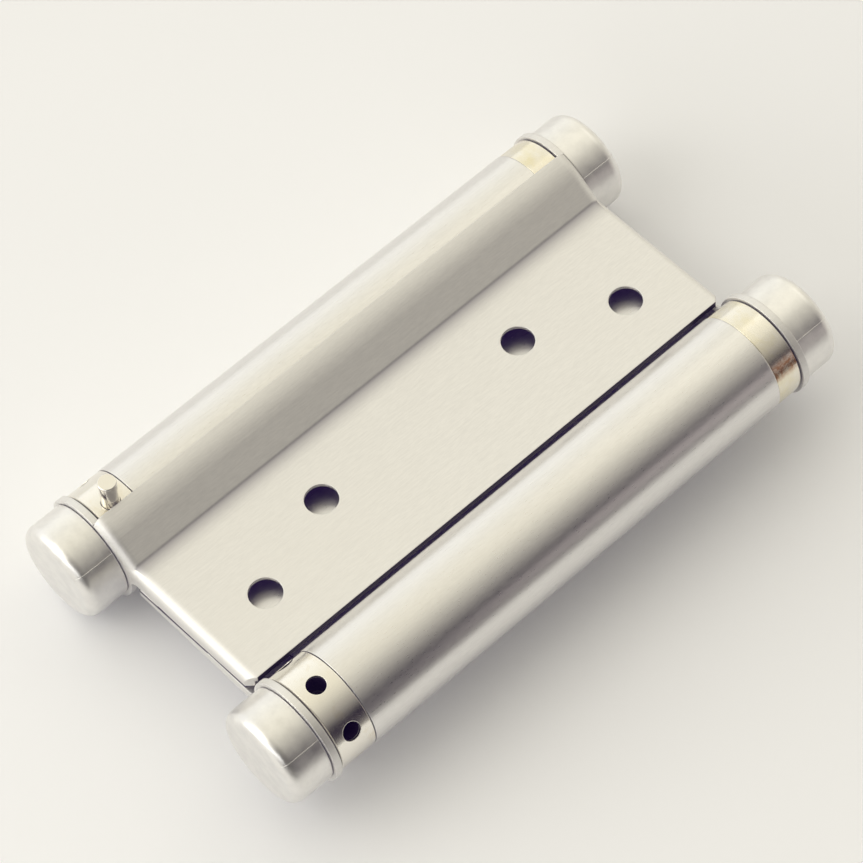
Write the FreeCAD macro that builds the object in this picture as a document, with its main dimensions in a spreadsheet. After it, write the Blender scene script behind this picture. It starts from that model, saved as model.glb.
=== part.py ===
import FreeCAD, Part
import math
import os

import Sketcher

# A double action spring hinge for a swing door, closed and lying flat, in millimetres.
# The barrels lie along Y, the door side's at -X and the frame side's at +X, and the tube
# axes are at Z = 0. The origin is the middle of the hinge. Half a turn about Y carries
# the door side onto the frame side, so each side is built by the same functions.

doc = FreeCAD.newDocument("cafe_hinge")
sheet = doc.addObject("Spreadsheet::Sheet", "Sizes")


class Size:
    """A length or angle with its value and the expression that gives it."""

    def __init__(self, value, text):
        self.value = float(value)
        self.text = text

    def __add__(self, other):
        other = as_size(other)
        return Size(self.value + other.value, f"({self.text} + {other.text})")

    def __sub__(self, other):
        other = as_size(other)
        return Size(self.value - other.value, f"({self.text} - {other.text})")

    def __mul__(self, other):
        other = as_size(other)
        return Size(self.value * other.value, f"({self.text} * {other.text})")

    def __truediv__(self, other):
        other = as_size(other)
        return Size(self.value / other.value, f"({self.text} / {other.text})")

    def __neg__(self):
        return Size(-self.value, f"(0 - {self.text})")

    def root(self):
        return Size(math.sqrt(self.value), f"sqrt({self.text})")

    def sine(self):
        return Size(math.sin(math.radians(self.value)), f"sin({self.text})")

    def cosine(self):
        return Size(math.cos(math.radians(self.value)), f"cos({self.text})")


def as_size(number):
    if isinstance(number, Size):
        return number
    return Size(number, repr(float(number)))


rows = []


def cell(alias, value):
    """One driving dimension: a cell of the sheet under its own name."""
    rows.append(alias)
    sheet.set(f"A{len(rows)}", alias)
    sheet.set(f"B{len(rows)}", str(value))
    sheet.setAlias(f"B{len(rows)}", alias)
    return Size(value, f"Sizes.{alias}")


# The barrels and the web between them: one rolled sheet.
axis_distance = cell("axis_distance", 60.4)
tube_radius = cell("tube_radius", 11.1)
web_sheet = cell("web_sheet", 1.2)
tube_seam = cell("tube_seam", 0.3)

# The two leaves: a plate, a hood round the tube, end lips and ears.
leaf_length = cell("leaf_length", 125)
leaf_sheet = cell("leaf_sheet", 1.5)
plate_height = cell("plate_height", 6.1)
plate_edge_gap = cell("plate_edge_gap", 1.5)
leaf_lean = cell("leaf_lean", 3.1)
hood_clearance = cell("hood_clearance", 0.25)
hood_end_angle = cell("hood_end_angle", 77)
hood_flat_angle = cell("hood_flat_angle", 52)
hood_root_bend = cell("hood_root_bend", 0.8)
leaf_bend = cell("leaf_bend", 2.4)
leaf_corner_cut = cell("leaf_corner_cut", 1.9)
lip_gap = cell("lip_gap", 0.3)
lip_corner_cut = cell("lip_corner_cut", 2.4)
lip_corner_start = cell("lip_corner_start", 2.6)
ear_step = cell("ear_step", 0.5)
ear_root_bend = cell("ear_root_bend", 3)
end_play = cell("end_play", 0.2)

# Screw holes in the leaves.
hole_diameter = cell("hole_diameter", 6.9)
countersink_diameter = cell("countersink_diameter", 8.5)
outer_hole_reach = cell("outer_hole_reach", 34.9)
inner_hole_reach = cell("inner_hole_reach", 26.7)
outer_hole_spacing = cell("outer_hole_spacing", 95.6)
inner_hole_spacing = cell("inner_hole_spacing", 52.2)
hole_shift = cell("hole_shift", 0.55)

# Collars, spindle, spring, tension pin and end caps of one barrel.
adjusting_collar_length = cell("adjusting_collar_length", 8.6)
fixed_collar_length = cell("fixed_collar_length", 6)
collar_step = cell("collar_step", 0.1)
collar_chamfer = cell("collar_chamfer", 0.4)
fixed_collar_chamfer = cell("fixed_collar_chamfer", 0.2)
collar_gap = cell("collar_gap", 0.3)
fixed_collar_gap = cell("fixed_collar_gap", 0.12)
spigot_length = cell("spigot_length", 5)
spindle_radius = cell("spindle_radius", 3.5)
spindle_chamfer = cell("spindle_chamfer", 0.5)
running_clearance = cell("running_clearance", 0.05)
bar_hole_diameter = cell("bar_hole_diameter", 4)
bar_hole_count = cell("bar_hole_count", 6)
bar_hole_wall = cell("bar_hole_wall", 1.3)
pin_diameter = cell("pin_diameter", 3.8)
pin_outer = cell("pin_outer", 18.2)
pin_chamfer = cell("pin_chamfer", 0.15)
spring_wire = cell("spring_wire", 2.6)
spring_clearance = cell("spring_clearance", 0.4)
spring_turns = cell("spring_turns", 18)
tang_angle = cell("tang_angle", 18)
tang_length = cell("tang_length", 3)
tang_play = cell("tang_play", 3)
cap_step = cell("cap_step", 0.4)
cap_height = cell("cap_height", 9)
cap_edge = cell("cap_edge", 2.3)
cap_bore_depth = cell("cap_bore_depth", 6)

# Sizes that follow from the driving ones.
bore_radius = tube_radius - web_sheet
collar_radius = tube_radius - collar_step
cap_radius = tube_radius - cap_step
ear_radius = tube_radius + ear_step
hood_inner = tube_radius + hood_clearance
hood_outer = hood_inner + leaf_sheet
leaf_half = leaf_length / 2
ear_inside = leaf_half - leaf_sheet
plate_under = plate_height - leaf_sheet
plate_reach = axis_distance - tube_radius - plate_edge_gap
lean_drop = axis_distance / 2 * leaf_lean.sine() / leaf_lean.cosine()
lip_end = lean_drop + lip_gap / 2
tube_far = ear_inside - fixed_collar_gap - fixed_collar_length
tube_near = ear_inside - collar_gap - adjusting_collar_length - end_play
pivot_radius = spindle_radius + running_clearance
bar_hole_floor = pivot_radius + bar_hole_wall
pin_inner = bar_hole_floor + running_clearance
cap_seat = leaf_half + end_play
spindle_half = cap_seat + cap_bore_depth
spring_outer = bore_radius - spring_clearance
spring_inner = spring_outer - spring_wire
spring_far_angle = spring_turns * 360 - tang_angle


def bind(item, name, size):
    """Ties one property of a document object to the sheet."""
    item.setExpression(name, as_size(size).text)


def new_body(name):
    """An empty body whose Label names its file."""
    body = doc.addObject("PartDesign::Body", name)
    body.Label = name
    return body


def origin_part(body, role):
    for feature in body.Origin.OriginFeatures:
        if feature.Role == role:
            return feature
    raise RuntimeError(f"{body.Label} has no {role}")


def new_sketch(body, name, role, offset=None):
    """A sketch on one of the body's own planes, moved along that plane's normal."""
    sketch = body.newObject("Sketcher::SketchObject", name)
    sketch.AttachmentSupport = [(origin_part(body, role), "")]
    sketch.MapMode = "FlatFace"
    if offset is not None:
        bind(sketch, "AttachmentOffset.Base.z", offset)
    return sketch


def fix(sketch, kind, geometry, point, size):
    """Sets one coordinate of a sketch point, bound to the sheet."""
    size = as_size(size)
    index = sketch.addConstraint(Sketcher.Constraint(kind, -1, 1, geometry, point, size.value))
    sketch.setExpression(f"Constraints[{index}]", size.text)


def arc_between(start, end, radius):
    """The short arc from start to end, counterclockwise where the radius is positive."""
    chord = end - start
    half = chord.Length / 2
    side = FreeCAD.Vector(-chord.y, chord.x, 0).normalize()
    depth = math.sqrt(max(radius * radius - half * half, 0))
    middle = (start + end) / 2
    sign = 1 if radius > 0 else -1
    centre = middle + side * depth * sign
    crown = centre - side * abs(radius) * sign
    return Part.ArcOfCircle(start, crown, end)


def outline(sketch, points):
    """A closed outline. A point is (x, y), or (x, y, radius) where an arc leads to it."""
    points = [tuple(as_size(size) for size in point) for point in points]
    spots = [FreeCAD.Vector(point[0].value, point[1].value, 0) for point in points]
    heads = []
    for number, point in enumerate(points):
        start = spots[number - 1]
        end = spots[number]
        if len(point) == 2:
            index = sketch.addGeometry(Part.LineSegment(start, end))
            heads.append((index, 1, 2))
            continue
        radius = point[2]
        index = sketch.addGeometry(arc_between(start, end, radius.value))
        ends = (1, 2) if radius.value > 0 else (2, 1)
        heads.append((index, ends[0], ends[1]))
        size = Size(abs(radius.value), f"abs({radius.text})")
        place = sketch.addConstraint(Sketcher.Constraint("Radius", index, size.value))
        sketch.setExpression(f"Constraints[{place}]", size.text)
    for number, (index, first, last) in enumerate(heads):
        before = heads[number - 1]
        sketch.addConstraint(Sketcher.Constraint("Coincident", before[0], before[2], index, first))
        fix(sketch, "DistanceX", index, last, points[number][0])
        fix(sketch, "DistanceY", index, last, points[number][1])


def ring(sketch, x, y, radius):
    """A circle with its centre and radius bound to the sheet."""
    x, y, radius = as_size(x), as_size(y), as_size(radius)
    centre = FreeCAD.Vector(x.value, y.value, 0)
    index = sketch.addGeometry(Part.Circle(centre, FreeCAD.Vector(0, 0, 1), radius.value))
    place = sketch.addConstraint(Sketcher.Constraint("Radius", index, radius.value))
    sketch.setExpression(f"Constraints[{place}]", radius.text)
    fix(sketch, "DistanceX", index, 3, x)
    fix(sketch, "DistanceY", index, 3, y)


def sector(sketch, inner, outer, start, angle):
    """A piece of a ring, from the start angle onwards the way the spring winds."""
    first = (start.cosine(), -start.sine())
    last = ((start + angle).cosine(), -(start + angle).sine())
    outline(sketch, [
        (inner * first[0], inner * first[1], inner),
        (outer * first[0], outer * first[1]),
        (outer * last[0], outer * last[1], -outer),
        (inner * last[0], inner * last[1]),
    ])


def pad(body, sketch, length, symmetric=False, reversed_way=False):
    feature = body.newObject("PartDesign::Pad", sketch.Name + "_pad")
    feature.Profile = sketch
    feature.SideType = "Symmetric" if symmetric else "One side"
    feature.Reversed = reversed_way
    bind(feature, "Length", length)
    return feature


def pocket(body, sketch, length, symmetric=False, reversed_way=False):
    feature = body.newObject("PartDesign::Pocket", sketch.Name + "_cut")
    feature.Profile = sketch
    feature.SideType = "Symmetric" if symmetric else "One side"
    feature.Reversed = reversed_way
    bind(feature, "Length", length)
    return feature


def mirror(body, feature, role):
    """The same feature on the other side of one of the body's planes."""
    copy = body.newObject("PartDesign::Mirrored", feature.Name + "_mirror")
    copy.Originals = [feature]
    copy.MirrorPlane = (origin_part(body, role), [""])
    body.Tip = copy
    return copy


def turned(body, name, points):
    """A piece turned about Y from its half section of (radius, length) points."""
    sketch = new_sketch(body, name, "XY_Plane")
    outline(sketch, points)
    feature = body.newObject("PartDesign::Revolution", name + "_turn")
    feature.Profile = sketch
    feature.ReferenceAxis = (sketch, ["V_Axis"])
    feature.Angle = 360
    return feature


def put(body, side, along=0):
    """Places a piece on its barrel: side is -1 for the door's and 1 for the frame's."""
    turn = 0 if side < 0 else 180
    body.Placement = FreeCAD.Placement(
        FreeCAD.Vector(0, 0, 0), FreeCAD.Rotation(FreeCAD.Vector(0, 1, 0), turn))
    bind(body, "Placement.Base.x", axis_distance / 2 * side)
    bind(body, "Placement.Base.y", along)


def turn_about_barrel(body, side, angle):
    """Turns a piece about its barrel, from its side's own zero, with the angle bound."""
    zero = 0 if side < 0 else 180
    body.Placement.Rotation = FreeCAD.Rotation(FreeCAD.Vector(0, 1, 0), zero + angle.value)
    bind(body, "Placement.Rotation.Angle", as_size(zero) + angle)


def make_web():
    """The middle sheet, with a tube rolled at each side and its seam beside the web."""
    body = new_body("centre_web")
    half = axis_distance / 2
    foot = web_sheet / 2
    reach = (tube_radius * tube_radius - foot * foot).root()
    start = half - reach
    sketch = new_sketch(body, "web_section", "XZ_Plane")
    outline(sketch, [
        (-start, foot),
        (-half - tube_radius, 0, tube_radius),
        (-start, -foot, tube_radius),
        (start, -foot),
        (half + tube_radius, 0, tube_radius),
        (start, foot, tube_radius),
    ])
    ring(sketch, -half, 0, bore_radius)
    ring(sketch, half, 0, bore_radius)
    pad(body, sketch, tube_near + tube_far, symmetric=True)
    slit = new_sketch(body, "web_seams", "XZ_Plane")
    for side in (-1, 1):
        near = (half - reach - web_sheet / 2) * side
        far = (half - bore_radius + web_sheet / 2) * side
        top = foot * -side
        edge = (foot + tube_seam) * -side
        outline(slit, [(near, top), (far, top), (far, edge), (near, edge)])
    pocket(body, slit, tube_near + tube_far, symmetric=True)
    bind(body, "Placement.Base.y", (tube_far - tube_near) / 2)


def root_points(radius, height, bend):
    """Where the hood's round ends, and the two ends of the bend from its flat to the plate."""
    rise, run = hood_flat_angle.sine(), hood_flat_angle.cosine()
    corner = (radius - height * rise) / run
    reach = bend * (as_size(1) - rise) / run
    return (radius * run, radius * rise), (corner - reach * rise, height + reach * run), corner + reach


def leaf_section(sketch):
    """The sheet's section: hood, flat, bend and plate, with the barrel axis at the origin."""
    shoulder, flat_end, plate_start = root_points(hood_outer, plate_height, hood_root_bend)
    inner_bend = hood_root_bend + leaf_sheet
    inner_shoulder, inner_flat_end, inner_start = root_points(hood_inner, plate_under, inner_bend)
    tip_x, tip_z = hood_end_angle.cosine(), hood_end_angle.sine()
    outline(sketch, [
        (hood_outer * tip_x, hood_outer * tip_z),
        (*shoulder, -hood_outer),
        flat_end,
        (plate_start, plate_height, hood_root_bend),
        (plate_reach, plate_height),
        (plate_reach, plate_under),
        (inner_start, plate_under),
        (*inner_flat_end, -inner_bend),
        inner_shoulder,
        (hood_inner * tip_x, hood_inner * tip_z, hood_inner),
    ])


def lip_section(sketch):
    """The end wall under the plate and the hood, with its lower corner cut back."""
    shoulder, flat_end, plate_start = root_points(hood_outer, plate_height, hood_root_bend)
    ear_arm = ear_radius + ear_root_bend
    root_z = lip_end - ear_root_bend
    root_x = (ear_arm * ear_arm - root_z * root_z).root()
    outline(sketch, [
        (0, 0),
        (root_x, lip_end),
        (plate_reach - lip_corner_cut, lip_end),
        (plate_reach, plate_height - lip_corner_start),
        (plate_reach, plate_height),
        (plate_start, plate_height),
        (*flat_end, -hood_root_bend),
        shoulder,
        (hood_outer * hood_end_angle.cosine(), hood_outer * hood_end_angle.sine(), hood_outer),
    ])


def ear_section(sketch):
    """The round of the ear beyond the hood, and its bend into the lip's lower edge."""
    ear_arm = ear_radius + ear_root_bend
    root_z = lip_end - ear_root_bend
    root_x = (ear_arm * ear_arm - root_z * root_z).root()
    share = ear_radius / ear_arm
    tip_x, tip_z = hood_end_angle.cosine(), hood_end_angle.sine()
    outline(sketch, [
        (0, 0),
        (ear_radius * tip_x, ear_radius * tip_z),
        (-ear_radius, 0, ear_radius),
        (0, -ear_radius, ear_radius),
        (root_x * share, root_z * share, ear_radius),
        (root_x, lip_end, -ear_root_bend),
    ])


def bend_edges(shape):
    """The edges where the plate, the bend and the hood meet the end walls outside."""
    across = FreeCAD.Vector(hood_flat_angle.cosine().value, 0, hood_flat_angle.sine().value)
    plate_start = root_points(hood_outer, plate_height, hood_root_bend)[2]
    centre = FreeCAD.Vector(plate_start.value, 0, plate_height.value + hood_root_bend.value)
    names = []
    for number, edge in enumerate(shape.Edges, 1):
        middle = edge.valueAt((edge.FirstParameter + edge.LastParameter) / 2)
        if edge.BoundBox.YLength > 0.01 or abs(abs(middle.y) - leaf_half.value) > 0.01:
            continue
        flat = FreeCAD.Vector(middle.x, 0, middle.z)
        on_plate = abs(middle.z - plate_height.value) < 0.01
        on_bend = abs((flat - centre).Length - hood_root_bend.value) < 0.01
        on_flat = abs(flat.dot(across) - hood_outer.value) < 0.01
        on_hood = abs(flat.Length - hood_outer.value) < 0.01
        if on_plate or on_bend or on_flat or on_hood:
            names.append(f"Edge{number}")
    return names


def make_leaf(name, side):
    """One stamping: plate, hood, end lips and ears, with its pivot and screw holes."""
    body = new_body(name)
    section = new_sketch(body, name + "_section", "XZ_Plane")
    leaf_section(section)
    pad(body, section, leaf_length, symmetric=True)
    lip = new_sketch(body, name + "_lip", "XZ_Plane", ear_inside)
    lip_section(lip)
    base = mirror(body, pad(body, lip, leaf_sheet), "XZ_Plane")
    doc.recompute()
    fillet = body.newObject("PartDesign::Fillet", name + "_bend")
    fillet.Base = (base, bend_edges(base.Shape))
    bind(fillet, "Radius", leaf_bend)
    corners = new_sketch(body, name + "_corners", "XY_Plane")
    for end in (-1, 1):
        outline(corners, [
            (plate_reach, leaf_half * end),
            (plate_reach, (leaf_half - leaf_corner_cut) * end),
            (plate_reach - leaf_corner_cut, leaf_half * end),
        ])
    pocket(body, corners, plate_height * 4, symmetric=True)
    ear = new_sketch(body, name + "_ear", "XZ_Plane", ear_inside)
    ear_section(ear)
    mirror(body, pad(body, ear, leaf_sheet), "XZ_Plane")
    pivot = new_sketch(body, name + "_pivot", "XZ_Plane")
    ring(pivot, 0, 0, pivot_radius)
    pocket(body, pivot, leaf_length + leaf_sheet, symmetric=True)
    screws = new_sketch(body, name + "_screws", "XY_Plane", plate_under)
    for end in (-1, 1):
        ring(screws, outer_hole_reach, outer_hole_spacing / 2 * end + hole_shift, hole_diameter / 2)
        ring(screws, inner_hole_reach, inner_hole_spacing / 2 * end + hole_shift, hole_diameter / 2)
    doc.recompute()
    holes = body.newObject("PartDesign::Hole", name + "_holes")
    holes.Profile = screws
    holes.Reversed = True
    holes.DepthType = "ThroughAll"
    holes.HoleCutType = "Countersink"
    bind(holes, "Diameter", hole_diameter)
    holes.HoleCutCustomValues = True
    bind(holes, "HoleCutDiameter", countersink_diameter)
    holes.HoleCutCountersinkAngle = 90
    put(body, side)
    turn_about_barrel(body, side, leaf_lean)


def cut_tang_notch(body, name, start, end):
    """The notch in a collar's spigot that the spring's tang hooks into."""
    notch = new_sketch(body, name + "_notch", "XZ_Plane", spigot_length * -end)
    inner = spring_inner - spring_clearance
    sector(notch, inner, bore_radius + spring_clearance, start - tang_play, tang_angle + tang_play * 2)
    pocket(body, notch, tang_length + spring_clearance, reversed_way=end > 0)


def make_fixed_collar(name, side):
    """The collar at the far end: a bright ring with a spigot pressed into the tube."""
    body = new_body(name)
    length = fixed_collar_length
    turned(body, name + "_half", [
        (spindle_radius, -spigot_length),
        (bore_radius, -spigot_length),
        (bore_radius, 0),
        (collar_radius - fixed_collar_chamfer, 0),
        (collar_radius, fixed_collar_chamfer),
        (collar_radius, length - fixed_collar_chamfer),
        (collar_radius - fixed_collar_chamfer, length),
        (spindle_radius, length),
    ])
    cut_tang_notch(body, name, spring_far_angle, -1)
    put(body, side, tube_far)
    turn_about_barrel(body, side, pin_lean)


def make_adjusting_collar(name, side):
    """The collar that winds the spring, with blind holes for a tommy bar round its rim."""
    body = new_body(name)
    length = adjusting_collar_length
    turned(body, name + "_half", [
        (pivot_radius, spigot_length),
        (bore_radius - running_clearance, spigot_length),
        (bore_radius - running_clearance, 0),
        (collar_radius, 0),
        (collar_radius, collar_chamfer - length),
        (collar_radius - collar_chamfer, -length),
        (pivot_radius, -length),
    ])
    drill = new_sketch(body, name + "_drill", "XY_Plane", bar_hole_floor)
    ring(drill, 0, -length / 2, bar_hole_diameter / 2)
    hole = pocket(body, drill, collar_radius, reversed_way=True)
    pattern = body.newObject("PartDesign::PolarPattern", name + "_holes")
    pattern.Originals = [hole]
    pattern.Axis = (origin_part(body, "Y_Axis"), [""])
    pattern.Angle = 360
    bind(pattern, "Occurrences", bar_hole_count)
    body.Tip = pattern
    cut_tang_notch(body, name, as_size(0), 1)
    put(body, side, -tube_near - end_play)
    turn_about_barrel(body, side, pin_lean)


def make_pin(name, side):
    """The tension pin in one hole of the collar, just ahead of the hood's edge."""
    body = new_body(name)
    radius = pin_diameter / 2
    sketch = new_sketch(body, name + "_half", "XZ_Plane")
    outline(sketch, [
        (0, pin_inner),
        (radius, pin_inner),
        (radius, pin_outer - pin_chamfer),
        (radius - pin_chamfer, pin_outer),
        (0, pin_outer),
    ])
    feature = body.newObject("PartDesign::Revolution", name + "_turn")
    feature.Profile = sketch
    feature.ReferenceAxis = (sketch, ["V_Axis"])
    feature.Angle = 360
    put(body, side, -tube_near - end_play - adjusting_collar_length / 2)
    turn_about_barrel(body, side, pin_lean)


def make_spindle(name, side):
    """The rod through the barrel that the ears turn on."""
    body = new_body(name)
    turned(body, name + "_half", [
        (0, -spindle_half),
        (spindle_radius - spindle_chamfer, -spindle_half),
        (spindle_radius, spindle_chamfer - spindle_half),
        (spindle_radius, spindle_half - spindle_chamfer),
        (spindle_radius - spindle_chamfer, spindle_half),
        (0, spindle_half),
    ])
    put(body, side)


def make_cap(name, side, end):
    """A cast end cap with a rounded rim, pressed on the spindle: end is -1 or 1."""
    body = new_body(name)
    turned(body, name + "_half", [
        (spindle_radius, 0),
        (cap_radius, 0),
        (cap_radius, (cap_height - cap_edge) * end),
        (cap_radius - cap_edge, cap_height * end, cap_edge * end),
        (0, cap_height * end),
        (0, cap_bore_depth * end),
        (spindle_radius, cap_bore_depth * end),
    ])
    put(body, side, cap_seat * end)


def make_spring(name, side):
    """The torsion spring between the two spigots, of square wire with a tang at each end."""
    body = new_body(name)
    near = end_play + tube_near - spigot_length
    far = tube_far - spigot_length
    sketch = new_sketch(body, name + "_wire", "XY_Plane")
    outline(sketch, [
        (spring_inner, -near),
        (spring_outer, -near),
        (spring_outer, spring_wire - near),
        (spring_inner, spring_wire - near),
    ])
    coil = body.newObject("PartDesign::AdditiveHelix", name + "_coil")
    coil.Profile = sketch
    coil.ReferenceAxis = (sketch, ["V_Axis"])
    coil.Mode = "height-turns-angle"
    bind(coil, "Height", near + far - spring_wire)
    bind(coil, "Turns", spring_turns)
    reach = tang_length + spring_wire / 2
    tang = new_sketch(body, name + "_near_tang", "XZ_Plane", near - spring_wire / 2)
    sector(tang, spring_inner, spring_outer, as_size(0), tang_angle)
    pad(body, tang, reach)
    tang = new_sketch(body, name + "_far_tang", "XZ_Plane", spring_wire / 2 - far)
    sector(tang, spring_inner, spring_outer, spring_far_angle, tang_angle)
    pad(body, tang, reach, reversed_way=True)
    put(body, side)
    turn_about_barrel(body, side, pin_lean)


pin_half_angle_sine = (pin_diameter / 2 + running_clearance) / hood_inner
pin_half_angle = Size(
    math.degrees(math.asin(pin_half_angle_sine.value)), f"(asin({pin_half_angle_sine.text}) / 1 deg)")
pin_lean = as_size(90) - hood_end_angle - pin_half_angle + leaf_lean

make_web()
for side, prefix in ((-1, "door"), (1, "frame")):
    make_leaf(f"{prefix}_leaf", side)
    make_spindle(f"{prefix}_spindle", side)
    make_spring(f"{prefix}_spring", side)
    make_fixed_collar(f"{prefix}_fixed_collar", side)
    make_adjusting_collar(f"{prefix}_adjusting_collar", side)
    make_pin(f"{prefix}_tension_pin", side)
    make_cap(f"{prefix}_near_cap", side, -1)
    make_cap(f"{prefix}_far_cap", side, 1)

doc.recompute()

failed = [item.Name for item in doc.Objects if "Invalid" in item.State or "Error" in item.State]
if failed:
    raise RuntimeError(f"features failed: {failed}")

pieces = [item for item in doc.Objects if item.TypeId == "PartDesign::Body"]
for piece in pieces:
    if piece.Shape.isNull() or not piece.Shape.isValid():
        raise RuntimeError(f"{piece.Label} has no valid shape")
    print(piece.Label, len(piece.Shape.Solids), round(piece.Shape.Volume, 1), piece.Shape.BoundBox)

os.makedirs("parts", exist_ok=True)
for piece in pieces:
    piece.Shape.exportStep(os.path.join("parts", piece.Label + ".step"))
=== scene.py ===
import math

import bpy
import bmesh
from mathutils import Matrix, Vector


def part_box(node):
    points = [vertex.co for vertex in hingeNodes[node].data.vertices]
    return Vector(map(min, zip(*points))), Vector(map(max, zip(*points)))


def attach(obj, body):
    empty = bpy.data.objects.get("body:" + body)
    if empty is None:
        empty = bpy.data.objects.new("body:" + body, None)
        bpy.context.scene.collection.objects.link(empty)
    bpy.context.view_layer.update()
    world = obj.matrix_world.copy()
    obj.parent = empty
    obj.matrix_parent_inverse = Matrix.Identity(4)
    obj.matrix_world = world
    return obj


# Double action spring hinge, satin steel with nickel collars, lying on a pale table.
# Metres, +Y along the barrels, +Z out of the door leaf. Door side at -X, frame side at +X.

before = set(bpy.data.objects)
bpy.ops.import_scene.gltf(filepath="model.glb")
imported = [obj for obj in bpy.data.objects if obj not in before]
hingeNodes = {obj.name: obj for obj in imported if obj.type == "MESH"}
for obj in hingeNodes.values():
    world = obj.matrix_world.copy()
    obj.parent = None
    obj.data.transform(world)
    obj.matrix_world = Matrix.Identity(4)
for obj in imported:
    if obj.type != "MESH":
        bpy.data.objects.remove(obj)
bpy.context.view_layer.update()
print("hinge loaded:", len(hingeNodes), "pieces")


# Camera: a long lens, rolled a little, as the product shot was taken.
camera = {
    "place": (0.39501, -0.26386, 0.65339),
    "right": (0.66989, 0.73447, -0.10861),
    "up": (-0.55713, 0.59397, 0.58035),
    "lens": 171.94,
    "sensor": 36,
    "nearest": 0.02,
    "farthest": 20,
}


def placeCamera(values):
    data = bpy.data.cameras.new("shotCamera")
    data.lens = values["lens"]
    data.sensor_width = values["sensor"]
    data.sensor_fit = "HORIZONTAL"
    data.clip_start = values["nearest"]
    data.clip_end = values["farthest"]
    body = bpy.data.objects.new("shotCamera", data)
    bpy.context.scene.collection.objects.link(body)
    right = Vector(values["right"]).normalized()
    up = Vector(values["up"])
    up = (up - right * up.dot(right)).normalized()
    back = right.cross(up)
    turn = Matrix((right, up, back)).transposed().to_4x4()
    body.matrix_world = Matrix.Translation(values["place"]) @ turn
    bpy.context.scene.camera = body


placeCamera(camera)
print("camera placed")


# Small helpers for building node materials.
evenly = (1, 1, 1)


def newMaterial(name):
    material = bpy.data.materials.new(name)
    material.use_nodes = True
    tree = material.node_tree
    tree.nodes.clear()
    output = tree.nodes.new("ShaderNodeOutputMaterial")
    return material, tree, output


def addNode(tree, kind, **settings):
    node = tree.nodes.new(kind)
    for key, value in settings.items():
        setattr(node, key, value)
    return node


def join(tree, source, target):
    tree.links.new(source, target)


def fill(tree, socket, item):
    # A plain number or colour is written into the socket, anything else is linked to it
    if isinstance(item, (int, float, tuple)):
        socket.default_value = item
    else:
        join(tree, item, socket)


def stretchedCoordinates(tree, stretch):
    # Object coordinates in metres, squeezed along the grain so that noise becomes streaks
    where = addNode(tree, "ShaderNodeTexCoord")
    mapping = addNode(tree, "ShaderNodeMapping")
    mapping.inputs["Scale"].default_value = stretch
    join(tree, where.outputs["Object"], mapping.inputs["Vector"])
    return mapping.outputs["Vector"]


def objectAxes(tree, kind="Object"):
    where = addNode(tree, "ShaderNodeTexCoord")
    parts = addNode(tree, "ShaderNodeSeparateXYZ")
    join(tree, where.outputs[kind], parts.inputs[0])
    return parts.outputs


def noiseValue(tree, vector, scale, detail):
    # "detail" holds the number of finer layers and how strong they are
    noise = addNode(tree, "ShaderNodeTexNoise")
    noise.inputs["Scale"].default_value = scale
    noise.inputs["Detail"].default_value = detail[0]
    noise.inputs["Roughness"].default_value = detail[1]
    join(tree, vector, noise.inputs["Vector"])
    return noise.outputs["Fac"]


def rampColour(tree, value, stops):
    ramp = addNode(tree, "ShaderNodeValToRGB")
    elements = ramp.color_ramp.elements
    while len(elements) < len(stops):
        elements.new(0.5)
    for element, (place, colour) in zip(elements, stops):
        element.position = place
        element.color = (*colour, 1)
    join(tree, value, ramp.inputs["Fac"])
    return ramp.outputs["Color"]


def spread(tree, value, low, high, fromLow=0.3, fromHigh=0.7):
    # Noise mostly lies between 0.3 and 0.7, so that is the usual range to spread
    change = addNode(tree, "ShaderNodeMapRange")
    change.inputs["From Min"].default_value = fromLow
    change.inputs["From Max"].default_value = fromHigh
    change.inputs["To Min"].default_value = low
    change.inputs["To Max"].default_value = high
    join(tree, value, change.inputs["Value"])
    return change.outputs["Result"]


def shaped(tree, operation, first, second=None):
    # One step of arithmetic between sockets or plain numbers
    step = addNode(tree, "ShaderNodeMath", operation=operation)
    for socket, item in zip(step.inputs, (first, second)):
        if item is not None:
            fill(tree, socket, item)
    return step.outputs[0]


def mixColour(tree, kind, factor, first, second):
    mix = addNode(tree, "ShaderNodeMix", data_type="RGBA", blend_type=kind)
    for number, item in ((0, factor), (6, first), (7, second)):
        fill(tree, mix.inputs[number], item)
    return mix.outputs[2]


def bump(tree, height, strength, distance, under=None):
    node = addNode(tree, "ShaderNodeBump")
    node.inputs["Strength"].default_value = strength
    node.inputs["Distance"].default_value = distance
    join(tree, height, node.inputs["Height"])
    if under is not None:
        join(tree, under, node.inputs["Normal"])
    return node.outputs["Normal"]


def softEdges(tree, radius):
    # Rounds the look of a sheet or turned edge by a fraction of a millimetre
    bevel = addNode(tree, "ShaderNodeBevel", samples=8)
    bevel.inputs["Radius"].default_value = radius
    return bevel.outputs["Normal"]


# Painted light: a faint violet glow on the metal, which lifts its darkest shade towards violet though
# no lamp gives it.
violetGlow = {
    "colour": (0.30, 0.12, 1.0),
    "onSteel": 0.012,
    "onNickel": 0.010,
}


def newMetal(tree, output, glowLevel=None):
    metal = addNode(tree, "ShaderNodeBsdfPrincipled")
    # painted light: the metal glows faintly violet at this level
    if glowLevel is not None:
        metal.inputs["Emission Color"].default_value = (*violetGlow["colour"], 1)
        metal.inputs["Emission Strength"].default_value = glowLevel
    join(tree, metal.outputs["BSDF"], output.inputs["Surface"])
    return metal
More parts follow.
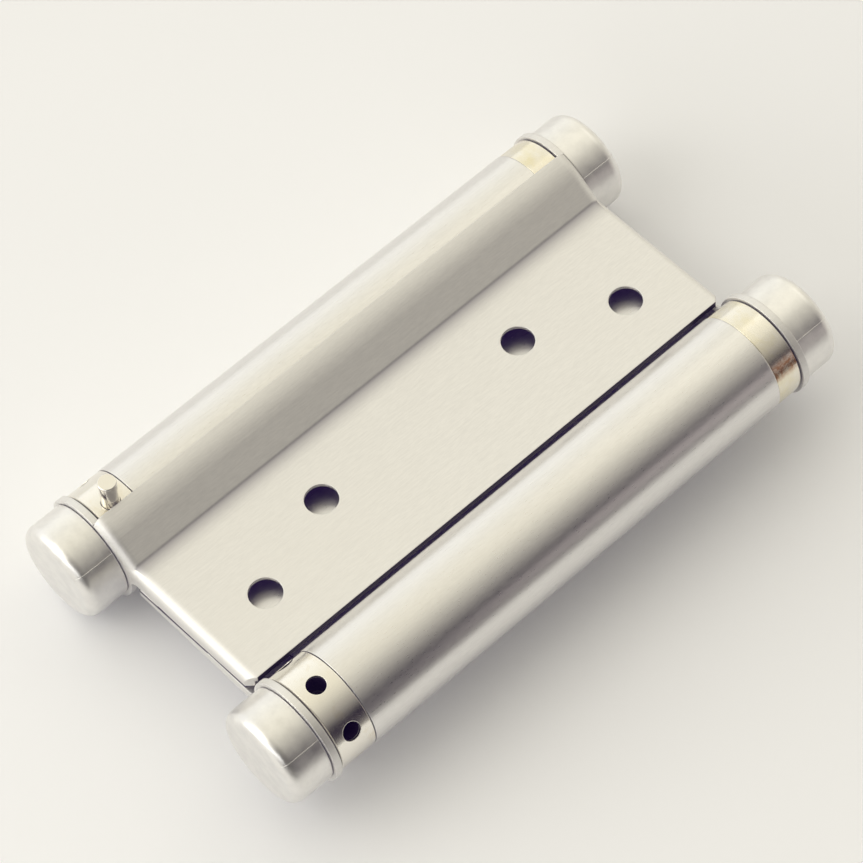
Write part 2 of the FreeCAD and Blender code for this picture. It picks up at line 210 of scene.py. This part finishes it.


# Satin stainless steel of the leaves and the rolled barrels, with fine lengthwise grain.
# Painted shade: near black on the free edge of each plate and where the lips meet, in the gaps between
# parts.
satinSteel = {
    "pale": (0.815, 0.805, 0.775),
    "deep": (0.79, 0.78, 0.75),
    "deepTo": 0.35,
    "paleFrom": 0.60,
    "streakStretch": (1, 0.05, 1),
    "streakScale": 2400,
    "grainShade": (0.94, 0.94, 0.94),
    "grainPlain": (1.0, 1.0, 1.0),
    "grainBetween": (0.35, 0.65),
    "grainStretch": (1, 0.16, 1),
    "grainScale": 3400,
    "grainDetail": (3, 0.6),
    "grainStrength": 0.5,
    "grainDepth": 0.000003,
    "roughness": (0.50, 0.56),
    "stain": (0.785, 0.77, 0.725),
    "stainShare": 0.4,
    "stainBetween": (0.45, 0.75),
    "stainStretch": (1, 0.35, 1),
    "stainScale": 26,
    "stainDetail": (3, 0.5),
    "edgeRadius": 0.0003,
    # painted shade colour for the gaps and for the crease at the hood's root
    "paintedShade": (0.10, 0.085, 0.125),
    "plateEdge": 0.0176,
    "plateEdgeBand": 0.0003,
    "sidewaysFrom": 0.8,
    "lipEdge": 0.0004,
    "crease": (0.0169, 0.0050),
    "creaseOnHood": 0.0004,
    "creaseOnPlate": 0.0050,
    "creaseFall": 2,
    "creaseShade": 0.62,
}


def gapShadeMask(tree, values):
    # Painted shade mask: 1 on the free edge of a plate and on the meeting edges of the lips, in the
    # gaps
    place = objectAxes(tree)
    facing = objectAxes(tree, "Normal")
    beside = shaped(tree, "ABSOLUTE", place["X"])
    atFree = shaped(tree, "COMPARE", beside, values["plateEdge"])
    atFree.node.inputs[2].default_value = values["plateEdgeBand"]
    turned = shaped(tree, "ABSOLUTE", facing["X"])
    sideways = shaped(tree, "GREATER_THAN", turned, values["sidewaysFrom"])
    above = shaped(tree, "ABSOLUTE", place["Z"])
    atLip = shaped(tree, "LESS_THAN", above, values["lipEdge"])
    inPlate = shaped(tree, "LESS_THAN", beside, values["plateEdge"])
    return shaped(tree, "MAXIMUM", shaped(tree, "MULTIPLY", atFree, sideways),
                  shaped(tree, "MULTIPLY", atLip, inPlate))


def creaseShadeMask(tree, values):
    # Painted shade in the crease at the root of the hood, where the bend turns from the light: deepest
    # at the root and gone 5 mm out on the plate
    place = objectAxes(tree)
    beside, above = values["crease"]
    out = shaped(tree, "SUBTRACT", beside, shaped(tree, "ABSOLUTE", place["X"]))
    onPlate = spread(tree, out, 1.0, 0.0, 0.0, values["creaseOnPlate"])
    onHood = spread(tree, out, 0.0, 1.0, -values["creaseOnHood"], 0.0)
    onTop = shaped(tree, "GREATER_THAN", shaped(tree, "ABSOLUTE", place["Z"]), above)
    both = shaped(tree, "MULTIPLY", shaped(tree, "POWER", onPlate, values["creaseFall"]),
                  shaped(tree, "MULTIPLY", onHood, onTop))
    return shaped(tree, "MULTIPLY", both, values["creaseShade"])


def makeSatinSteel(name, values):
    material, tree, output = newMaterial(name)
    steel = newMetal(tree, output, violetGlow["onSteel"])
    steel.inputs["Metallic"].default_value = 1
    grain = noiseValue(tree, stretchedCoordinates(tree, values["grainStretch"]),
                       values["grainScale"], values["grainDetail"])
    streaks = noiseValue(tree, stretchedCoordinates(tree, values["streakStretch"]),
                         values["streakScale"], values["grainDetail"])
    stains = noiseValue(tree, stretchedCoordinates(tree, values["stainStretch"]),
                        values["stainScale"], values["stainDetail"])
    base = rampColour(tree, streaks, [(values["deepTo"], values["deep"]),
                                      (values["paleFrom"], values["pale"])])
    low, high = values["grainBetween"]
    fine = rampColour(tree, grain, [(low, values["grainShade"]), (high, values["grainPlain"])])
    base = mixColour(tree, "MULTIPLY", 1.0, base, fine)
    stained = spread(tree, stains, 0.0, values["stainShare"], *values["stainBetween"])
    base = mixColour(tree, "MIX", stained, base, (*values["stain"], 1))
    # painted shade: the crease at the hood's root and the edges in the gaps are mixed towards near
    # black
    for mask in (creaseShadeMask, gapShadeMask):
        base = mixColour(tree, "MIX", mask(tree, values), base, (*values["paintedShade"], 1))
    join(tree, base, steel.inputs["Base Color"])
    join(tree, spread(tree, grain, *values["roughness"]), steel.inputs["Roughness"])
    edges = softEdges(tree, values["edgeRadius"])
    normal = bump(tree, grain, values["grainStrength"], values["grainDepth"], edges)
    join(tree, normal, steel.inputs["Normal"])
    return material


leafSteel = makeSatinSteel("leafSatinSteel", satinSteel)
barrelSteel = makeSatinSteel("barrelSatinSteel", dict(satinSteel, roughness=(0.27, 0.33)))


# Bright nickel of the collars and the tension pins: smooth, a little warm, faintly stained,
# and on the collars painted near black and not metal, as painted shade, in the bores, in the tommy bar
# holes and along both end seams.
brightNickel = {
    "pale": (0.86, 0.835, 0.76),
    "warm": (0.79, 0.73, 0.58),
    "paleTo": 0.55,
    "warmFrom": 0.80,
    "stainScale": 240,
    "stainDetail": (4, 0.65),
    "roughness": (0.13, 0.24),
    "turnStretch": (0.05, 1, 0.05),
    "turnScale": 3000,
    "turnDetail": (3, 0.6),
    "turnStrength": 0.12,
    "turnDepth": 0.00001,
    "speckScale": 2600,
    "speckDetail": (3, 0.6),
    "speckStrength": 0.5,
    "speckDepth": 0.000012,
    "edgeRadius": 0.0002,
    "barrelAxis": 0.0302,
    # painted shade colour for the bores, the tommy bar holes and the end seams
    "holeShade": (0.028, 0.018, 0.045),
    "holeShadeWithin": (0.0103, 0.0106),
    "seamWidth": 0.00022,
    "seamBlur": 0.00008,
    "seamShade": 0.9,
}


def holeAndSeamShadeMask(tree, values):
    # Painted shade mask: 1 near the barrel's axis, in its bores, and along the seams at its ends, 0 on
    # the rim
    place = objectAxes(tree)
    across = shaped(tree, "SUBTRACT", shaped(tree, "ABSOLUTE", place["X"]), values["barrelAxis"])
    flat = addNode(tree, "ShaderNodeCombineXYZ")
    join(tree, across, flat.inputs["X"])
    join(tree, place["Z"], flat.inputs["Z"])
    reach = addNode(tree, "ShaderNodeVectorMath", operation="LENGTH")
    join(tree, flat.outputs[0], reach.inputs[0])
    inside = spread(tree, reach.outputs["Value"], 1.0, 0.0, *values["holeShadeWithin"])
    if "ends" not in values:
        return inside
    low, high = values["ends"]
    along = shaped(tree, "ABSOLUTE", shaped(tree, "SUBTRACT", place["Y"], (low + high) / 2))
    seam = (high - low) / 2 - values["seamWidth"]
    blur = values["seamBlur"]
    atSeam = spread(tree, along, 0.0, values["seamShade"], seam - blur, seam + blur)
    return shaped(tree, "MAXIMUM", inside, atSeam)


def burntMask(tree, values):
    # A patchy band low on the outer side of a fixed collar, 1 where it is brownest
    place = objectAxes(tree)
    band = shaped(tree, "MULTIPLY", spread(tree, place["Z"], 0.0, 1.0, *values["burntFrom"]),
                  spread(tree, place["Z"], 1.0, 0.0, *values["burntTo"]))
    outer = shaped(tree, "GREATER_THAN", shaped(tree, "ABSOLUTE", place["X"]), values["barrelAxis"])
    patches = noiseValue(tree, stretchedCoordinates(tree, evenly),
                         values["burntScale"], values["stainDetail"])
    patches = spread(tree, patches, values["burntLeast"], 1.0, *values["burntBetween"])
    return shaped(tree, "MULTIPLY", shaped(tree, "MULTIPLY", band, outer), patches)


def makeBrightNickel(name, values):
    material, tree, output = newMaterial(name)
    nickel = newMetal(tree, output, violetGlow["onNickel"])
    plain = stretchedCoordinates(tree, evenly)
    lines = noiseValue(tree, stretchedCoordinates(tree, values["turnStretch"]),
                       values["turnScale"], values["turnDetail"])
    stain = noiseValue(tree, plain, values["stainScale"], values["stainDetail"])
    specks = noiseValue(tree, plain, values["speckScale"], values["speckDetail"])
    base = rampColour(tree, stain, [(values["paleTo"], values["pale"]),
                                    (values["warmFrom"], values["warm"])])
    if "burnt" in values:
        base = mixColour(tree, "MIX", burntMask(tree, values), base, (*values["burnt"], 1))
    # painted shade: bores, holes and end seams are mixed towards near black and made non-metal
    shadedInside = holeAndSeamShadeMask(tree, values)
    base = mixColour(tree, "MIX", shadedInside, base, (*values["holeShade"], 1))
    join(tree, base, nickel.inputs["Base Color"])
    join(tree, spread(tree, shadedInside, 1.0, 0.0, 0.0, 1.0), nickel.inputs["Metallic"])
    join(tree, spread(tree, stain, *values["roughness"]), nickel.inputs["Roughness"])
    edges = softEdges(tree, values["edgeRadius"])
    normal = bump(tree, lines, values["turnStrength"], values["turnDepth"], edges)
    normal = bump(tree, specks, values["speckStrength"], values["speckDepth"], normal)
    join(tree, normal, nickel.inputs["Normal"])
    return material


def endsOf(name):
    low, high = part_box(name)
    return low[1], high[1]


# The fixed collars are yellower, more stained, and brown in one band, as if once heated.
tarnish = {
    "pale": (0.84, 0.81, 0.72),
    "warm": (0.80, 0.74, 0.53),
    "paleTo": 0.40,
    "warmFrom": 0.72,
    "stainScale": 170,
    "roughness": (0.16, 0.26),
    "burnt": (0.47, 0.27, 0.15),
    "burntFrom": (0.0028, 0.0042),
    "burntTo": (0.0058, 0.0074),
    "burntScale": 800,
    "burntBetween": (0.40, 0.56),
    "burntLeast": 0.35,
}

# The tension pins are smoother, and carry the painted shade only within 5 mm of the barrel's axis, at
# their inner ends.
drawnPin = {
    "roughness": (0.12, 0.2),
    "holeShadeWithin": (0.0040, 0.0050),
}

collarNickel = makeBrightNickel(
    "collarNickel", {**brightNickel, "ends": endsOf("frame_adjusting_collar")})
tarnishedNickel = makeBrightNickel(
    "tarnishedNickel", {**brightNickel, **tarnish, "ends": endsOf("frame_fixed_collar")})
pinNickel = makeBrightNickel("pinNickel", {**brightNickel, **drawnPin})


# Soft nickel on the cast end caps: matt, faintly mottled, with fine casting pits.
capNickel = {
    "pale": (0.86, 0.85, 0.815),
    "deep": (0.79, 0.78, 0.75),
    "deepTo": 0.35,
    "paleFrom": 0.62,
    "roughness": (0.32, 0.41),
    "mottleScale": 380,
    "mottleDetail": (4, 0.6),
    "mottleStrength": 0.15,
    "mottleDepth": 0.00005,
    "pitScale": 2400,
    "pitDetail": (3, 0.6),
    "pitStrength": 0.3,
    "pitDepth": 0.00001,
    "edgeRadius": 0.0003,
}


def makeCapNickel(name, values):
    material, tree, output = newMaterial(name)
    nickel = newMetal(tree, output, violetGlow["onNickel"])
    nickel.inputs["Metallic"].default_value = 1
    plain = stretchedCoordinates(tree, evenly)
    mottle = noiseValue(tree, plain, values["mottleScale"], values["mottleDetail"])
    pits = noiseValue(tree, plain, values["pitScale"], values["pitDetail"])
    base = rampColour(tree, mottle, [(values["deepTo"], values["deep"]),
                                     (values["paleFrom"], values["pale"])])
    join(tree, base, nickel.inputs["Base Color"])
    join(tree, spread(tree, mottle, *values["roughness"]), nickel.inputs["Roughness"])
    edges = softEdges(tree, values["edgeRadius"])
    normal = bump(tree, pits, values["pitStrength"], values["pitDepth"], edges)
    normal = bump(tree, mottle, values["mottleStrength"], values["mottleDepth"], normal)
    join(tree, normal, nickel.inputs["Normal"])
    return material


capMetal = makeCapNickel("capNickel", capNickel)


# Steel inside the barrels: the oiled spring and the drawn spindle.
oiledSpring = {
    "pale": (0.30, 0.30, 0.31),
    "dark": (0.16, 0.15, 0.15),
    "roughness": (0.35, 0.47),
    "stretch": evenly,
    "scale": 500,
    "detail": (3, 0.6),
    "between": (0.35, 0.65),
    "strength": 0.2,
    "depth": 0.00003,
}

drawnSpindle = dict(
    oiledSpring, pale=(0.62, 0.61, 0.58), dark=(0.48, 0.47, 0.45),
    roughness=(0.2, 0.32), stretch=(1, 0.05, 1))


def makeInnerSteel(name, values):
    material, tree, output = newMaterial(name)
    steel = newMetal(tree, output)
    steel.inputs["Metallic"].default_value = 1
    cloud = noiseValue(tree, stretchedCoordinates(tree, values["stretch"]),
                       values["scale"], values["detail"])
    low, high = values["between"]
    base = rampColour(tree, cloud, [(low, values["dark"]), (high, values["pale"])])
    join(tree, base, steel.inputs["Base Color"])
    join(tree, spread(tree, cloud, *values["roughness"]), steel.inputs["Roughness"])
    join(tree, bump(tree, cloud, values["strength"], values["depth"]), steel.inputs["Normal"])
    return material


springSteel = makeInnerSteel("springSteel", oiledSpring)
spindleSteel = makeInnerSteel("spindleSteel", drawnSpindle)
print("metals mixed")


# Each piece takes the finish that its name ends with.
finishes = {
    "centre_web": barrelSteel,
    "leaf": leafSteel,
    "adjusting_collar": collarNickel,
    "fixed_collar": tarnishedNickel,
    "pin": pinNickel,
    "cap": capMetal,
    "spring": springSteel,
    "spindle": spindleSteel,
}
for name, node in hingeNodes.items():
    for ending, material in finishes.items():
        if name.endswith(ending):
            node.data.materials.clear()
            node.data.materials.append(material)
print("pieces dressed")


# Turns a finished bmesh into an object in the scene.
def newPiece(name, mesh, material):
    data = bpy.data.meshes.new(name)
    mesh.to_mesh(data)
    mesh.free()
    data.materials.append(material)
    piece = bpy.data.objects.new(name, data)
    bpy.context.scene.collection.objects.link(piece)
    return piece


# Parting line of each cast cap: a fine ridge along its side and over its rounded rim.
partingLine = {
    "angle": 40,
    "sideSteps": 4,
    "rimRound": 0.0023,
    "rimTurn": 75,
    "rimSteps": 8,
    "halfWidth": 0.00013,
    "height": 0.00007,
    "sink": 0.00004,
    "tailHeight": 0.25,
}


def ridgePath(values, low, high, end):
    # (radius, y) from the cap's seat to its rim, where end is -1 or 1
    radius = (high[0] - low[0]) / 2
    seat, tip = (low[1], high[1]) if end > 0 else (high[1], low[1])
    rim = tip - values["rimRound"] * end
    steps = values["sideSteps"]
    path = [(radius, seat + (rim - seat) * step / steps) for step in range(steps)]
    for step in range(values["rimSteps"] + 1):
        turn = math.radians(values["rimTurn"]) * step / values["rimSteps"]
        path.append((radius - values["rimRound"] * (1 - math.cos(turn)),
                     rim + values["rimRound"] * math.sin(turn) * end))
    return path


def makePartingLine(name, node, body, end, values):
    low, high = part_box(node)
    axis = (low[0] + high[0]) / 2
    turn = math.radians(values["angle"])
    outward = Vector((math.cos(turn), 0, math.sin(turn)))
    beside = Vector((-math.sin(turn), 0, math.cos(turn)))
    path = ridgePath(values, low, high, end)
    mesh = bmesh.new()
    rows = []
    for number, (radius, along) in enumerate(path):
        before = path[max(number - 1, 0)]
        after = path[min(number + 1, len(path) - 1)]
        way = (outward * (after[0] - before[0]) + Vector((0, after[1] - before[1], 0))).normalized()
        up = beside.cross(way).normalized()
        if up.dot(outward) < 0:
            up = -up
        height = values["height"] * (values["tailHeight"] if number == len(path) - 1 else 1)
        foot = Vector((axis, along, 0)) + outward * radius - up * values["sink"]
        rows.append([mesh.verts.new(foot - beside * values["halfWidth"]),
                     mesh.verts.new(foot + up * (values["sink"] + height)),
                     mesh.verts.new(foot + beside * values["halfWidth"])])
    for first, second in zip(rows, rows[1:]):
        for column in range(3):
            other = (column + 1) % 3
            mesh.faces.new((first[column], first[other], second[other], second[column]))
    mesh.faces.new(rows[0])
    mesh.faces.new(list(reversed(rows[-1])))
    bmesh.ops.recalc_face_normals(mesh, faces=mesh.faces)
    ridge = newPiece(name, mesh, capMetal)
    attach(ridge, body)


for side in ("door", "frame"):
    for place, end in (("near", -1), ("far", 1)):
        makePartingLine(f"{side}_{place}_parting_line", f"{side}_{place}_cap", "web", end, partingLine)
print("parting lines cast")


# Table: the hinge rests on both ears of the door barrel and on the frame's tension pin.
table = {
    "nearEar": (-0.0302, -0.0625, -0.0116),
    "farEar": (-0.0302, 0.0625, -0.0116),
    "pinTip": (0.0282, -0.0564, -0.0183),
    "drop": 0.00005,
    "reach": 1.6,
    "edge": 0.145,
    "steps": 8,
    "colour": (0.965, 0.97, 1.0),
    "cloud": 0.985,
    "cloudScale": 9,
    "cloudDetail": (2, 0.5),
    "cloudBetween": (0.3, 0.7),
    "shown": (0.96, 0.95, 0.95),
    "lift": 0.015,
}


def makeTableMaterial(values):
    # Plain paint, lifted a little towards white for the camera and for the metal that mirrors it
    material, tree, output = newMaterial("tableTop")
    paint = addNode(tree, "ShaderNodeBsdfDiffuse")
    cloud = noiseValue(tree, stretchedCoordinates(tree, evenly),
                       values["cloudScale"], values["cloudDetail"])
    darker = tuple(channel * values["cloud"] for channel in values["colour"])
    low, high = values["cloudBetween"]
    base = rampColour(tree, cloud, [(low, darker), (high, values["colour"])])
    join(tree, base, paint.inputs["Color"])
    glow = addNode(tree, "ShaderNodeEmission")
    glow.inputs["Color"].default_value = (*values["shown"], 1)
    glow.inputs["Strength"].default_value = 1
    ray = addNode(tree, "ShaderNodeLightPath")
    seen = shaped(tree, "MAXIMUM", ray.outputs["Is Camera Ray"], ray.outputs["Is Glossy Ray"])
    mix = addNode(tree, "ShaderNodeMixShader")
    join(tree, shaped(tree, "MULTIPLY", seen, values["lift"]), mix.inputs[0])
    join(tree, paint.outputs[0], mix.inputs[1])
    join(tree, glow.outputs[0], mix.inputs[2])
    join(tree, mix.outputs[0], output.inputs["Surface"])
    return material


def layTable(values):
    first, second, third = (Vector(values[place]) for place in ("nearEar", "farEar", "pinTip"))
    normal = (second - first).cross(third - first).normalized()
    if normal.z < 0:
        normal = -normal
    across = Vector((1, 0, 0))
    across = (across - normal * across.dot(normal)).normalized()
    along = normal.cross(across)
    middle = normal * (normal.dot(first) - values["drop"])
    steps = values["steps"]
    mesh = bmesh.new()
    rows = []
    for row in range(steps + 1):
        line = []
        for column in range(steps + 1):
            u = values["edge"] - (1 - column / steps) * (values["edge"] + values["reach"])
            v = (row / steps * 2 - 1) * values["reach"]
            line.append(mesh.verts.new(middle + across * u + along * v))
        rows.append(line)
    for lower, upper in zip(rows, rows[1:]):
        for column in range(steps):
            mesh.faces.new((lower[column], lower[column + 1], upper[column + 1], upper[column]))
    newPiece("tableTop", mesh, makeTableMaterial(values))


layTable(table)
print("table laid")


# Light: a pale room, darkest low down beyond the frame side and shaded in front of it.
# "byAngle" gives the room's colour at so many degrees from its darkest point.
studio = {
    "darkTowards": (0.93, 0.33, 0.14),
    "byAngle": [
        (0, (0.011, 0.004, 0.022)),
        (9, (0.038, 0.033, 0.046)),
        (16, (0.185, 0.17, 0.165)),
        (24, (0.355, 0.335, 0.305)),
        (33, (0.51, 0.48, 0.43)),
        (44, (0.62, 0.59, 0.515)),
        (58, (0.765, 0.73, 0.625)),
        (74, (0.93, 0.887, 0.745)),
        (92, (0.99, 0.945, 0.80)),
        (112, (1.05, 1.02, 0.905)),
        (135, (1.16, 1.15, 1.09)),
        (180, (1.17, 1.16, 1.15)),
    ],
    "shadeTowards": (0.718, -0.646, 0.259),
    "shadeWithin": (70, 25),
    "shadeLevel": 0.15,
    "shownBackdrop": (0.93, 0.92, 0.90),
}

# Softboxes at the near end, a weak one at the far end, and a faint warm glow low beyond the far end.
# "from" is a lamp's bearing and height in degrees, as seen from the hinge.
lamps = {
    "highFront": {
        "from": (-108, 48), "away": 1.15, "size": (0.8, 0.5), "level": 1.6, "colour": (1, 0.97, 0.90)},
    "lowFront": {
        "from": (-118, 20), "away": 1.15, "size": (0.5, 0.35), "level": 2.5, "colour": (1, 0.99, 0.93)},
    "sideFront": {
        "from": (-90, 20), "away": 1.15, "size": (0.5, 0.35), "level": 2.5, "colour": (1, 0.99, 1)},
    "endFront": {
        "from": (-62, 20), "away": 1.15, "size": (0.5, 0.35), "level": 1.9, "colour": (1, 0.99, 1)},
    "back": {
        "from": (95, 50), "away": 1.15, "size": (0.8, 0.5), "level": 0.4, "colour": (1, 0.98, 0.94)},
    "farGlow": {
        "from": (34, 4), "away": 0.46, "size": (0.34, 0.11), "level": 0.46, "colour": (1, 0.90, 0.84)},
}


def lightRoom(values):
    world = bpy.data.worlds.new("studio")
    bpy.context.scene.world = world
    world.use_nodes = True
    tree = world.node_tree
    tree.nodes.clear()
    output = addNode(tree, "ShaderNodeOutputWorld")
    where = addNode(tree, "ShaderNodeTexCoord")
    facing = {}
    for towards in ("darkTowards", "shadeTowards"):
        node = addNode(tree, "ShaderNodeVectorMath", operation="DOT_PRODUCT")
        node.inputs[1].default_value = Vector(values[towards]).normalized()
        join(tree, where.outputs["Generated"], node.inputs[0])
        facing[towards] = node.outputs["Value"]
    level = spread(tree, facing["darkTowards"], 0.0, 1.0, 1.0, -1.0)
    outer, inner = (math.cos(math.radians(angle)) for angle in values["shadeWithin"])
    unshaded = spread(tree, facing["shadeTowards"], 1.0, values["shadeLevel"], outer, inner)
    stops = [((1 - math.cos(math.radians(angle))) / 2, colour) for angle, colour in values["byAngle"]]
    sky = addNode(tree, "ShaderNodeBackground")
    join(tree, rampColour(tree, level, stops), sky.inputs["Color"])
    join(tree, unshaded, sky.inputs["Strength"])
    backdrop = addNode(tree, "ShaderNodeBackground")
    backdrop.inputs["Color"].default_value = (*values["shownBackdrop"], 1)
    backdrop.inputs["Strength"].default_value = 1
    ray = addNode(tree, "ShaderNodeLightPath")
    mix = addNode(tree, "ShaderNodeMixShader")
    join(tree, ray.outputs["Is Camera Ray"], mix.inputs[0])
    join(tree, sky.outputs[0], mix.inputs[1])
    join(tree, backdrop.outputs[0], mix.inputs[2])
    join(tree, mix.outputs[0], output.inputs["Surface"])


def hangLamp(name, values):
    light = bpy.data.lights.new(name, "AREA")
    light.shape = "RECTANGLE"
    light.size, light.size_y = values["size"]
    light.energy = values["level"] * math.pi * light.size * light.size_y
    light.color = values["colour"]
    lamp = bpy.data.objects.new(name, light)
    bpy.context.scene.collection.objects.link(lamp)
    around, above = (math.radians(angle) for angle in values["from"])
    flat = math.cos(above)
    place = Vector((flat * math.cos(around), flat * math.sin(around), math.sin(above)))
    lamp.location = place * values["away"]
    lamp.rotation_euler = (-place).to_track_quat("-Z", "Y").to_euler()
    lamp.visible_camera = False


lightRoom(studio)
for name, values in lamps.items():
    hangLamp(name, values)
bpy.context.scene.view_settings.view_transform = "Standard"
print("studio lit")
